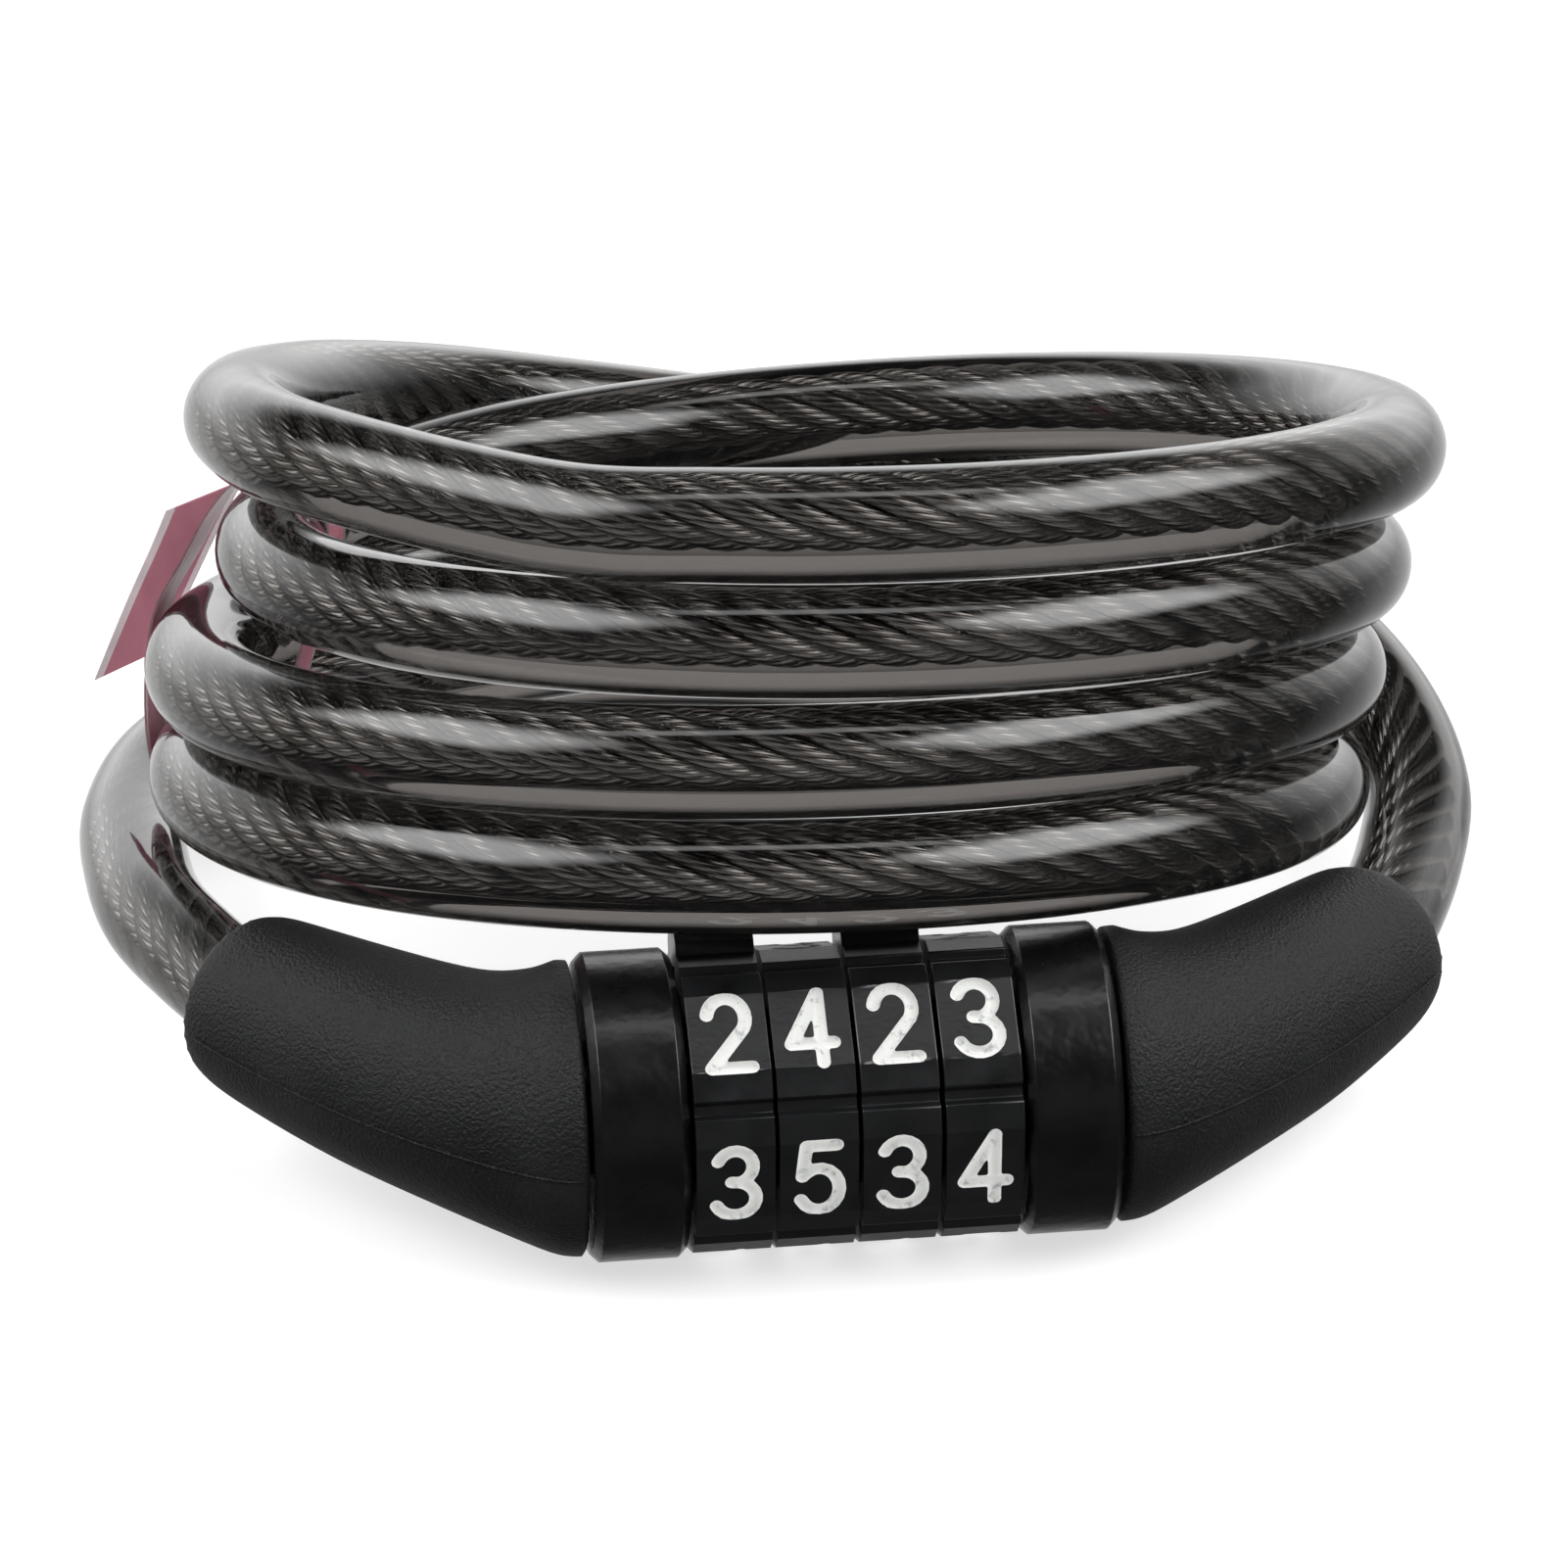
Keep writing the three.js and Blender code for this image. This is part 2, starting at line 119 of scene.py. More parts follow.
finishes = {
    "sleeveTint": "#555250",     # what white turns to through the smoked sleeve
    "sleeveIor": 1.52,
    "ropeLight": "#e8e8e6", "ropeDark": "#a3a2a0",
    # the parting line's rubber is near-black: painted shade on a raised line, the shade a groove would
    # hold
    "rubber": "#0e0f0f", "rubberWorn": "#1a1b1b", "rubberSeamShade": "#030303", "rubberGrain": 0.27,
    "enamel": "#040404", "enamelPeel": 1.1,
    "dialBlack": "#0b0c0d", "dialWorn": "#141517",
    "ink": "#dcddda", "inkStain": "#a3a5a6",
    "film": "#c98797", "filmClear": "#c9bcbf",
    "zinc": "#a4a6a8", "steel": "#8f9195", "heart": "#161412",
}


def smokedVinyl():
    # Plasticised PVC, extruded over the rope: clear with a brown-grey smoke, wet gloss
    material, tree, shader = newMaterial("smoked clear PVC")
    shader.inputs["Base Color"].default_value = colour(finishes["sleeveTint"])
    shader.inputs["Transmission Weight"].default_value = 1.0
    shader.inputs["IOR"].default_value = finishes["sleeveIor"]
    scuff = objectNoise(tree, 5.0, detail=4)
    tree.links.new(span(tree, scuff.outputs["Fac"], 0.01, 0.08), shader.inputs["Roughness"])
    wave = objectNoise(tree, 9.0, detail=1)
    bump(tree, shader, wave.outputs["Fac"], 0.25, strength=0.35)
    return material


def galvanisedRope():
    # Drawn and galvanised steel wire: bright along each wire, dark grease between
    material, tree, shader = newMaterial("galvanised steel wire")
    blotch = objectNoise(tree, 4.5, detail=2)
    tone = ramp(tree, blotch.outputs["Fac"], [
        (0.3, colour(finishes["ropeDark"])), (0.5, colour(finishes["ropeLight"]))])
    tree.links.new(tone, shader.inputs["Base Color"])
    shader.inputs["Metallic"].default_value = 1.0
    tree.links.new(span(tree, blotch.outputs["Fac"], 0.16, 0.26), shader.inputs["Roughness"])
    return material


def greasedFibre():
    # Fibre core of the rope, soaked in dark grease
    material, tree, shader = newMaterial("greased fibre core")
    shader.inputs["Base Color"].default_value = colour(finishes["heart"])
    shader.inputs["IOR"].default_value = 1.47
    clot = objectNoise(tree, 0.8, detail=3)
    tree.links.new(span(tree, clot.outputs["Fac"], 0.35, 0.7), shader.inputs["Roughness"])
    return material


def mouldedRubber(name, dark, worn):
    # Thermoplastic rubber out of a spark-eroded mould: matt, with an even fine grain
    material, tree, shader = newMaterial(name)
    haze = objectNoise(tree, 7.0, detail=4)
    tone = ramp(tree, haze.outputs["Fac"], [
        (0.3, colour(dark)), (0.75, colour(worn))])
    tree.links.new(tone, shader.inputs["Base Color"])
    tree.links.new(span(tree, haze.outputs["Fac"], 0.48, 0.62), shader.inputs["Roughness"])
    shader.inputs["IOR"].default_value = 1.5
    shader.inputs["Specular IOR Level"].default_value = 0.34
    grain = objectNoise(tree, finishes["rubberGrain"], detail=2, rough=0.6)
    bump(tree, shader, grain.outputs["Fac"], 0.2, strength=1.0)
    return material


def blackEnamel():
    # Stoved enamel on die-cast zinc: deep gloss with orange peel
    material, tree, shader = newMaterial("black stoved enamel")
    dust = objectNoise(tree, 3.0, detail=5)
    tone = ramp(tree, dust.outputs["Fac"], [
        (0.3, colour(finishes["enamel"])), (0.8, colour("#0d0d0e"))])
    tree.links.new(tone, shader.inputs["Base Color"])
    tree.links.new(span(tree, dust.outputs["Fac"], 0.2, 0.36), shader.inputs["Roughness"])
    shader.inputs["IOR"].default_value = 1.52
    peel = objectNoise(tree, finishes["enamelPeel"], detail=1.5)
    bump(tree, shader, peel.outputs["Fac"], 0.1, strength=0.45)
    return material


def dialPlastic():
    # Glass-filled nylon, moulded: satin black that shines where fingers rub it
    material, tree, shader = newMaterial("moulded black nylon")
    haze = objectNoise(tree, 2.4, detail=4)
    tone = ramp(tree, haze.outputs["Fac"], [
        (0.3, colour(finishes["dialBlack"])), (0.8, colour(finishes["dialWorn"]))])
    tree.links.new(tone, shader.inputs["Base Color"])
    tree.links.new(span(tree, haze.outputs["Fac"], 0.2, 0.42), shader.inputs["Roughness"])
    shader.inputs["IOR"].default_value = 1.53
    grain = objectNoise(tree, 0.4, detail=2)
    bump(tree, shader, grain.outputs["Fac"], 0.03, strength=0.4)
    return material


def numberPaint():
    # Off-white paint wiped into the moulded figures: chalky, thin at the edges
    material, tree, shader = newMaterial("off-white filling paint")
    stain = objectNoise(tree, 0.8, detail=4, rough=0.65)
    tone = ramp(tree, stain.outputs["Fac"], [
        (0.3, colour(finishes["inkStain"])), (0.44, colour(finishes["ink"]))])
    tree.links.new(tone, shader.inputs["Base Color"])
    shader.inputs["Roughness"].default_value = 0.45
    lump = objectNoise(tree, 0.3, detail=2)
    bump(tree, shader, lump.outputs["Fac"], 0.05, strength=0.5)
    return material


def bareMetal(name, hexCode, low, high):
    material, tree, shader = newMaterial(name)
    blotch = objectNoise(tree, 1.2, detail=4)
    light = colour(hexCode)
    dark = tuple(c * 0.6 for c in light[:3]) + (1.0,)
    tone = ramp(tree, blotch.outputs["Fac"], [(0.3, dark), (0.7, light)])
    tree.links.new(tone, shader.inputs["Base Color"])
    shader.inputs["Metallic"].default_value = 1.0
    tree.links.new(span(tree, blotch.outputs["Fac"], low, high), shader.inputs["Roughness"])
    return material


def tieFilmPlastic(name, hexCode, passed):
    # Printed polypropylene film: thin and shiny, and light comes through its colour. Its colour is darker
    # where the crease bump dips: painted shade in the creases
    material, tree, shader = newMaterial(name)
    crease = objectNoise(tree, 3.5, detail=3, stretch=(1, 1, 0.4))
    light = colour(hexCode)
    # painted shade: the colour drops to 0.7 in the dips of the crease bump
    dark = tuple(c * 0.7 for c in light[:3]) + (1.0,)
    tone = ramp(tree, crease.outputs["Fac"], [(0.3, dark), (0.7, light)])
    tree.links.new(tone, shader.inputs["Base Color"])
    shader.inputs["Transmission Weight"].default_value = passed
    shader.inputs["Roughness"].default_value = 0.18
    shader.inputs["IOR"].default_value = 1.1
    bump(tree, shader, crease.outputs["Fac"], 0.2, strength=0.3)
    return material


vinyl = smokedVinyl()
film = tieFilmPlastic("maroon printed film", finishes["film"], 0.55)
clearFilm = tieFilmPlastic("clear film edge", finishes["filmClear"], 0.8)
rope = galvanisedRope()
fibre = greasedFibre()
rubber = mouldedRubber("moulded black rubber", finishes["rubber"], finishes["rubberWorn"])
# painted shade: the parting line's rubber is darker than the boot's, as if it were a shaded groove
seamShadeRubber = mouldedRubber("parting line rubber darkened as painted shade", finishes["rubberSeamShade"], finishes["rubber"])
enamel = blackEnamel()
nylon = dialPlastic()
paint = numberPaint()
zinc = bareMetal("die-cast zinc", finishes["zinc"], 0.32, 0.5)
steel = bareMetal("spring steel", finishes["steel"], 0.2, 0.35)
print("materials made")

# Camera
cameraView = {
    "target": (-0.47, 24.162, 20.21),
    "azimuth": -6.402, "elevation": 25.514, "roll": -0.721,
    "distance": 698.589, "lens": 223.507,
}


def makeCamera():
    az, el, roll = (math.radians(cameraView[k]) for k in ("azimuth", "elevation", "roll"))
    back = Vector((math.sin(az) * math.cos(el), -math.cos(az) * math.cos(el), math.sin(el)))
    right = (-back).cross(Vector((0, 0, 1))).normalized()
    up = right.cross(-back)
    turnedRight = right * math.cos(roll) + up * math.sin(roll)
    turnedUp = up * math.cos(roll) - right * math.sin(roll)
    data = bpy.data.cameras.new("camera")
    data.lens = cameraView["lens"]
    data.clip_start, data.clip_end = 0.01, 20
    camera = bpy.data.objects.new("camera", data)
    bpy.context.scene.collection.objects.link(camera)
    spot = (Vector(cameraView["target"]) + back * cameraView["distance"]) * mm
    camera.matrix_world = Matrix((turnedRight, turnedUp, back)).transposed().to_4x4()
    camera.location = spot
    bpy.context.scene.camera = camera


makeCamera()

# Cable: smoked sleeve over a wire rope
cable = {
    "shift": -5.838152,        # from the lock's own frame, axis on Y 0, to the row frame
    "sleeve": 3.95,            # radius
    "nominal": 8.0,
    "rope": 1.85,              # radius over the strands
    "lift": 0.62,              # the rope lies this much above the sleeve's middle,
    "inward": 0.45,            # and this much into the bend
    "ease": 14,                # both die out over this length at the ends
    "strands": 6, "strandFill": 0.93,
    "heart": 0.6043,           # radius of the fibre core
    "lay": 22.0,               # length in which a strand goes once round the rope
    "wires": 15,               # outer wires of each strand
    "wireLay": -21.0,          # the wires turn the other way in the strand
    "groove": 0.86,            # between two wires, as a share of the strand's radius
    "step": 1.0, "evenOver": 41,              # steps over which the bend's direction is evened out
    "inMouth": 2.5,            # how far the sleeve reaches into each boot
    "plugHold": (12, 90),      # stretch from the plug
    "plugEnd": 120,            # a step along the cable from the plug
    "right": [
        (40.2, 18.6, 10.0), (42.6, 24.0, 9.9), (45.6, 32.5, 10.0), (47.7, 41, 10.8),
        (47.6, 50, 12.2), (45.4, 59, 13.8), (40.2, 69.5, 15.3), (31, 80, 16.8),
        (17.5, 88.2, 18.8), (2, 91.6, 21.4), (-10, 89.6, 24.6), (-20, 84.3, 28.6),
        (-28.3, 76, 33.0), (-33.6, 66, 37.2), (-36.8, 55, 41.3), (-37.6, 43, 45.0),
        (-34.3, 30, 48),
    ],
    "left": [
        (35.0, 59, 8.4), (28.6, 71, 5.7), (18, 80.5, 4.4), (4, 86.5, 4.05),
        (-11, 88.6, 4.05), (-25, 86, 4.3), (-36, 79, 5.2), (-42.8, 69, 6.4),
        (-46, 57, 7.6), (-46.4, 46, 8.8), (-45.6, 36, 9.9), (-43.0, 26.3, 10.9),
        (-40.2, 18.6, 11.5),
    ],
}
coil = {
    "radius": 40.0,                          # about how tight the turns are
    "front": (0, -0.6, 27.75),
    "lean": 15.3,
    "pitch": 8.05,
    "turns": (240, 1455, 15),                # first and last angle, and the step
    "radii": (42.3, 39.0, 42.4, 39.9),       # each turn lies a little differently
    "sideways": (4.0, 3.8, -1.2, -1.0),
}


def coilPoint(angle):
    turn = (angle - 270) / 360                 # 0 at the front of the top turn
    radius = float(np.interp(turn, range(4), coil["radii"]))
    across = float(np.interp(turn, range(4), coil["sideways"]))
    lean = math.radians(coil["lean"])
    back = Vector((0, math.cos(lean), -math.sin(lean)))
    normal = Vector((0, math.sin(lean), math.cos(lean)))
    side = Vector((1, 0, 0))
    level = 3 - turn
    a = math.radians(angle)
    return (Vector(coil["front"]) + back * radius + normal * (level * coil["pitch"]) + side * across
            + (side * math.cos(a) + back * math.sin(a)) * radius)


def smoothLine(points, step):
    # centripetal Catmull-Rom through the points, cut into equal steps
    p = np.array([tuple(q) for q in points], float)
    p = np.vstack([2 * p[0] - p[1], p, 2 * p[-1] - p[-2]])
    fine = []
    for a, b, c, d in zip(p[:-3], p[1:-2], p[2:-1], p[3:]):
        knots = np.cumsum([0] + [np.linalg.norm(v - u) ** 0.5 for u, v in ((a, b), (b, c), (c, d))])
        for t in np.linspace(knots[1], knots[2], 24, endpoint=False):
            a1 = (a * (knots[1] - t) + b * (t - knots[0])) / (knots[1] - knots[0])
            a2 = (b * (knots[2] - t) + c * (t - knots[1])) / (knots[2] - knots[1])
            a3 = (c * (knots[3] - t) + d * (t - knots[2])) / (knots[3] - knots[2])
            b1 = (a1 * (knots[2] - t) + a2 * (t - knots[0])) / (knots[2] - knots[0])
            b2 = (a2 * (knots[3] - t) + a3 * (t - knots[1])) / (knots[3] - knots[1])
            fine.append((b1 * (knots[2] - t) + b2 * (t - knots[1])) / (knots[2] - knots[1]))
    fine.append(p[-2])
    fine = np.array(fine)
    along = np.concatenate([[0], np.cumsum(np.linalg.norm(np.diff(fine, axis=0), axis=1))])
    count = max(2, round(along[-1] / step))
    even = np.linspace(0, along[-1], count + 1)
    return np.stack([np.interp(even, along, fine[:, i]) for i in range(3)], axis=1)


def cableRoute():
    turns = [coilPoint(a) for a in range(coil["turns"][0], coil["turns"][1] + 1, coil["turns"][2])]
    points = [Vector(p) for p in cable["right"]] + turns + [Vector(p) for p in cable["left"]]
    first = (points[0] - points[1]).normalized() * cable["inMouth"]
    last = (points[-1] - points[-2]).normalized() * cable["inMouth"]
    points = [points[0] + first] + points + [points[-1] + last]
    line = smoothLine(points, cable["step"])
    line[:, 1] += cable["shift"]
    return line


def carriedFrame(line):
    # a side direction carried along the line without turning about it
    along = np.gradient(line, axis=0)
    along /= np.linalg.norm(along, axis=1)[:, None]
    sides = [np.cross(along[0], (0, 0, 1))]
    for t in along[1:]:
        s = sides[-1] - t * (sides[-1] @ t)
        sides.append(s / np.linalg.norm(s))
    sides[0] /= np.linalg.norm(sides[0])
    sides = np.array(sides)
    return sides, np.cross(along, sides)


def splineMesh(name, lines, radius=0.0, profile=None, tilts=None, resolution=2, closed=False):
    # a curve through each line, given a round or a drawn section, as a mesh object
    data = bpy.data.curves.new(name, "CURVE")
    data.dimensions = "3D"
    data.twist_mode = "MINIMUM"
    if profile is None:
        data.bevel_depth = radius * mm
        data.bevel_resolution = resolution
    else:
        data.bevel_mode = "OBJECT"
        data.bevel_object = profile
    data.use_fill_caps = True
    for line in lines:
        spline = data.splines.new("POLY")
        spline.points.add(len(line) - 1)
        spline.points.foreach_set("co", np.column_stack([np.array(line) * mm, np.ones(len(line))]).ravel())
        if tilts is not None:
            spline.points.foreach_set("tilt", tilts)
        spline.use_smooth = True
        spline.use_cyclic_u = closed
    bent = bpy.data.objects.new(name + "_curve", data)
    bpy.context.scene.collection.objects.link(bent)
    bpy.context.view_layer.update()
    evaluated = bent.evaluated_get(bpy.context.evaluated_depsgraph_get())
    mesh = bpy.data.meshes.new_from_object(evaluated)
    bpy.data.objects.remove(bent)
    b = bmesh.new()
    b.from_mesh(mesh)
    bmesh.ops.remove_doubles(b, verts=b.verts, dist=1e-7)
    bmesh.ops.recalc_face_normals(b, faces=b.faces)
    b.to_mesh(mesh)
    b.free()
    return makeObject(name, mesh)


def makeObject(name, mesh):
    mesh.name = name
    piece = bpy.data.objects.new(name, mesh)
    bpy.context.scene.collection.objects.link(piece)
    return piece


def paintWith(piece, *materials):
    if len(piece.data.materials):
        piece.data.materials.clear()
    for material in materials:
        piece.data.materials.append(material)


def bendWithPlug(piece, line):
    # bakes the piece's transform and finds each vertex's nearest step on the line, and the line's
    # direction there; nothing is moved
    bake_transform(piece)
    tree = KDTree(len(line))
    for i, spot in enumerate(line):
        tree.insert(spot, i)
    tree.balance()
    co = np.zeros(len(piece.data.vertices) * 3)
    piece.data.vertices.foreach_get("co", co)
    co = co.reshape(-1, 3) / mm
    index = np.array([tree.find(spot)[1] for spot in co])
    along = np.gradient(line, axis=0)
    along /= np.linalg.norm(along, axis=1)[:, None]


def strandSection(radius):
    # the outline of one strand: the outer wires side by side
    count = cable["wires"] * 3                # a groove and two points on the wire
    data = bpy.data.curves.new("strand_section", "CURVE")
    data.dimensions = "2D"
    spline = data.splines.new("POLY")
    spline.points.add(count - 1)
    for i in range(count):
        a = 2 * math.pi * i / count
        r = radius * (cable["groove"] if i % 3 == 0 else 1) * mm
        spline.points[i].co = (r * math.cos(a), r * math.sin(a), 0, 1)
    spline.use_cyclic_u = True
    section = bpy.data.objects.new("strand_section", data)
    bpy.context.scene.collection.objects.link(section)
    return section


def buildCable():
    line = cableRoute()
    sleeve = splineMesh("cable_sleeve", [line], radius=cable["sleeve"], resolution=18)
    paintWith(sleeve, vinyl)
    sideA, sideB = carriedFrame(line)
    along = np.gradient(line, axis=0)
    along /= np.linalg.norm(along, axis=1)[:, None]
    bend = np.gradient(along, axis=0) / cable["step"] * coil["radius"]
    kernel = np.hanning(cable["evenOver"])
    kernel /= kernel.sum()
    bend = np.stack([np.convolve(bend[:, i], kernel, mode="same") for i in range(3)], axis=1)
    size = np.linalg.norm(bend, axis=1)[:, None]
    up = np.array((0, 0, 1.0)) - along * along[:, 2:]
    travel = np.arange(len(line)) * cable["step"]
    ease = np.clip(np.minimum(travel, travel[-1] - travel) / cable["ease"], 0, 1)[:, None]
    middle = line + (bend / np.maximum(size, 1) * cable["inward"] + up * cable["lift"]) * ease
    strandRadius = cable["rope"] / 3
    reach = cable["rope"] - strandRadius
    section = strandSection(strandRadius * cable["strandFill"])
    strands = []
    for i in range(cable["strands"]):
        a = 2 * math.pi * (travel / cable["lay"] + i / cable["strands"])
        path = middle + reach * (np.cos(a)[:, None] * sideA + np.sin(a)[:, None] * sideB)
        path = path[2:-2]
        tilts = (2 * math.pi * travel / cable["wireLay"])[2:-2]
        strand = splineMesh(f"rope_strand_{i + 1}", [path], profile=section, tilts=tilts)
        strands.append(strand)
    heart = splineMesh("rope_core", [middle[2:-2]], radius=cable["heart"], resolution=2)
    bpy.data.objects.remove(section)
    for piece in [*strands, heart]:
        paintWith(piece, fibre if piece == heart else rope)
    for piece in [sleeve, *strands, heart]:
        bendWithPlug(piece, line)
    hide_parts("cable_coil", "cable_lead_right", "cable_return", "cable_lead_left")
    return line, sleeve, [*strands, heart]


cableLine, sleeve, ropePieces = buildCable()

# Hard parts, from their frame nodes
def cleanCopy(node, name):
    # the frame's mesh, merged and with its flat faces whole again
    mesh = nodes[node].data.copy()
    b = bmesh.new()
    b.from_mesh(mesh)
    bmesh.ops.remove_doubles(b, verts=b.verts, dist=2e-6)
    bmesh.ops.dissolve_limit(b, angle_limit=math.radians(0.6), verts=b.verts, edges=b.edges)
    bmesh.ops.recalc_face_normals(b, faces=b.faces)
    b.to_mesh(mesh)
    b.free()
    return makeObject(name, mesh)


def addBevel(piece, width, segments, angle=28):
    bevel = piece.modifiers.new("edges", "BEVEL")
    bevel.width = width * mm
    bevel.segments = segments
    bevel.limit_method = "ANGLE"
    bevel.angle_limit = math.radians(angle)
    bevel.use_clamp_overlap = True
    return bevel


def addCut(piece, cutter):
    cut = piece.modifiers.new("cut", "BOOLEAN")
    cut.operation = "DIFFERENCE"
    cut.solver = "EXACT"
    cut.object = cutter
    return cut


def settle(piece, angle=30, extra=()):
    # modifiers become mesh; edges sharper than the angle stay crisp
    piece.data.polygons.foreach_set("use_smooth", [True] * len(piece.data.polygons))
    bpy.context.view_layer.update()
    evaluated = piece.evaluated_get(bpy.context.evaluated_depsgraph_get())
    mesh = bpy.data.meshes.new_from_object(evaluated)
    piece.modifiers.clear()
    old = piece.data
    piece.data = mesh
    bpy.data.meshes.remove(old)
    mesh.name = piece.name
    mesh.polygons.foreach_set("use_smooth", [True] * len(mesh.polygons))
    mesh.set_sharp_from_angle(angle=math.radians(angle))
    for cutter in extra:
        bpy.data.objects.remove(cutter)
    return piece


def flatFaces(piece):
    # wide faces keep their own flat shine, and the bevels take up the turn
    even = piece.modifiers.new("even shine", "WEIGHTED_NORMAL")
    even.weight = 100
    even.keep_sharp = True
    return piece


def standFor(piece, body, slot, *names):
    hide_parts(*names)
    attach(piece, body)
    return piece


axis = {"y": -5.838152, "z": 10.75}        # the lock's axis in the row frame

collars = {
    "edge": 0.18,
    "mark": 3.0,           # side of the triangle that shows where the figures line up
    "markDepth": 0.14,
    "markTilt": 1.0,
    "radius": 10.75,
    "middle": 14.975,
}


def markCutter(side):
    b = bmesh.new()
    radius = collars["mark"] / math.sqrt(3) * mm
    bmesh.ops.create_cone(
        b, cap_ends=True, cap_tris=False, segments=3,
        radius1=radius, radius2=radius, depth=2 * collars["markDepth"] * mm)
    mesh = bpy.data.meshes.new("mark")
    b.to_mesh(mesh)
    b.free()
    angle = math.radians(180 + collars["markTilt"])
    normal = Vector((0, math.cos(angle), math.sin(angle)))
    point = Vector((-side, 0, 0))                  # the tip points at the dials
    across = normal.cross(point)
    spot = Vector((side * collars["middle"], axis["y"], axis["z"])) + normal * collars["radius"]
    turn = Matrix((across, point, normal)).transposed().to_4x4()
    mesh.transform(Matrix.Translation(spot * mm) @ turn)
    return makeObject("mark", mesh)


def buildCollar(node, body, side):
    piece = cleanCopy(node, node + "_shell")
    paintWith(piece, enamel)
    addBevel(piece, collars["edge"], 3)
    mark = markCutter(side)
    addCut(piece, mark)
    flatFaces(settle(piece, extra=[mark]))
    standFor(piece, body, "enamel", node)


buildCollar("lock_body", "lock", -1)
buildCollar("plug_collar", "plug", 1)
print("collars made")

# Dials
dials = {
    "centres": (-8.625, -2.875, 2.875, 8.625),
    "code": (3, 5, 3, 4),         # figures that face the front
    "readingAngle": 187,          # from +Y towards +Z
    "facet": 10.3, "tab": 1.85,   # the thumb tab stands on the facet with the 1
    "edge": 0.16,
    "figureHeight": 5.3,          # between the middles of the strokes
    "figureWidth": 2.95,
    "stroke": 0.52,               # radius of the round cutter
    "depth": 0.36,
    "voxel": 0.09,
}


def arc(cx, cy, rx, ry, start, end, count=14):
    turns = np.radians(np.linspace(start, end, count))
    return [(cx + rx * math.cos(t), cy + ry * math.sin(t)) for t in turns]


# Strokes in a box from -1 to 1 across and 0 to 2 up; a sharp corner starts a new stroke
figures = {
    1: [[(-0.5, 1.55), (0.15, 2.0)], [(0.15, 2.0), (0.15, 0)]],
    2: [arc(-0.02, 1.42, 0.9, 0.58, 168, -32) + [(-0.9, 0.0)], [(-0.9, 0.0), (1.0, 0.0)]],
    3: [arc(-0.05, 1.5, 0.85, 0.5, 158, -80) + [(-0.2, 1.03)],
        [(-0.2, 1.03)] + arc(-0.02, 0.51, 0.96, 0.51, 80, -158)],
    4: [[(0.42, 0.0), (0.42, 2.0)], [(0.42, 2.0), (-1.0, 0.56)], [(-1.0, 0.56), (1.0, 0.56)]],
    5: [[(0.82, 2.0), (-0.62, 2.0)], [(-0.62, 2.0), (-0.8, 1.06)],
        [(-0.8, 1.06)] + arc(-0.02, 0.65, 0.96, 0.65, 126, -152)],
    6: [arc(0.0, 0.62, 0.92, 0.62, 0, 360, 22),
        [(-0.92, 0.62), (-0.86, 1.15), (-0.55, 1.62), (0.0, 1.9), (0.55, 1.98)]],
}


def figureCutter(index):
    strokes, balls = [], []
    for figure in range(1, 7):
        a = math.radians(dials["readingAngle"] + (figure - dials["code"][index]) * 60)
        normal = Vector((0, math.cos(a), math.sin(a)))
        up = Vector((0, math.sin(a), -math.cos(a)))
        middle = Vector((dials["centres"][index], axis["y"], axis["z"]))
        apothem = dials["facet"] + (dials["tab"] if figure == 1 else 0)
        middle += normal * (apothem + dials["stroke"] - dials["depth"])
        for stroke in figures[figure]:
            line = [middle + Vector((x * dials["figureWidth"] / 2, 0, 0))
                    + up * ((y - 1) * dials["figureHeight"] / 2) for x, y in stroke]
            strokes.append(line)
            balls += [line[0], line[-1]]
    tube = splineMesh("figures", strokes, radius=dials["stroke"], resolution=3)
    b = bmesh.new()
    b.from_mesh(tube.data)
    for spot in balls:
        bmesh.ops.create_icosphere(
            b, subdivisions=2, radius=dials["stroke"] * mm, matrix=Matrix.Translation(spot * mm))
    b.to_mesh(tube.data)
    b.free()
    solid = tube.modifiers.new("one solid", "REMESH")
    solid.mode = "VOXEL"
    solid.voxel_size = dials["voxel"] * mm
    paintWith(tube, nylon, paint)
    settle(tube)
    paintWith(tube, nylon, paint)
    tube.data.polygons.foreach_set("material_index", [1] * len(tube.data.polygons))
    return tube


def buildDial(index):
    node = f"dial_{index + 1}"
    piece = cleanCopy(node, f"number_dial_{index + 1}")
    paintWith(piece, nylon, paint)
    addBevel(piece, dials["edge"], 2, angle=20)
    cutter = figureCutter(index)
    addCut(piece, cutter)
    flatFaces(settle(piece, angle=40, extra=[cutter]))
    standFor(piece, node, "dial_black", node)


for k in range(4):
    buildDial(k)
print("dials made")

# Boots
boots = {
    "levels": 2,
    "inner": 18.6, "knee": 25.5, "mouth": (40.2, 18.6), "turn": 51,
    "roll": 2.3,                 # each boot's bend leans a little out of level
    "flash": 0.11, "proud": 0.02,    # the raised line that the mould's halves leave
    "flashPoints": 40, "flashStep": 0.7,
    "crease": 0.95, "rim": 24,       # edges bent more than this keep a crisp rim
    "profile": [
        (0.015, 10.35), (0.05, 10.4), (0.09, 10.35), (0.2, 9.6), (0.35, 8.8), (0.5, 8.2),
        (0.7, 7.75), (0.88, 7.05), (0.97, 6.65)],
}


